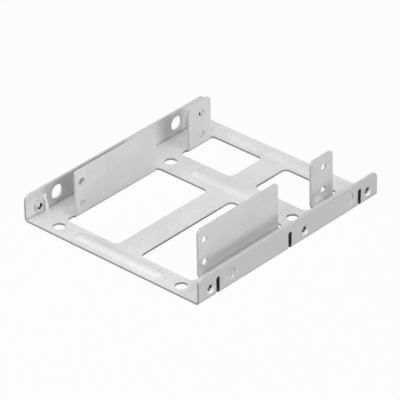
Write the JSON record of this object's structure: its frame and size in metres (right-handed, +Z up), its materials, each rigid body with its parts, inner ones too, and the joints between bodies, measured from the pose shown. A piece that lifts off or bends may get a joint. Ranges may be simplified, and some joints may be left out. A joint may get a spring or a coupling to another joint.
{
  "type": "drive bay adapter bracket",
  "caption": "Folded sheet-metal bracket: low outer walls with tapped holes fit a large drive bay, tall inner walls hold small drives over a windowed floor with pressed beads.",
  "frame": {"origin": "middle of the floor's underside", "axes": "+Z up from the floor to the tops of the walls, +Y along the drives from the front edge to the back edge, +X to the right seen from the front"},
  "size_m": [0.1016, 0.115, 0.0233],
  "materials": {
    "zinc_coated_steel": "satin"
  },
  "bodies": {
    "root": {"bracket": "zinc_coated_steel"}
  },
  "joints": []
}
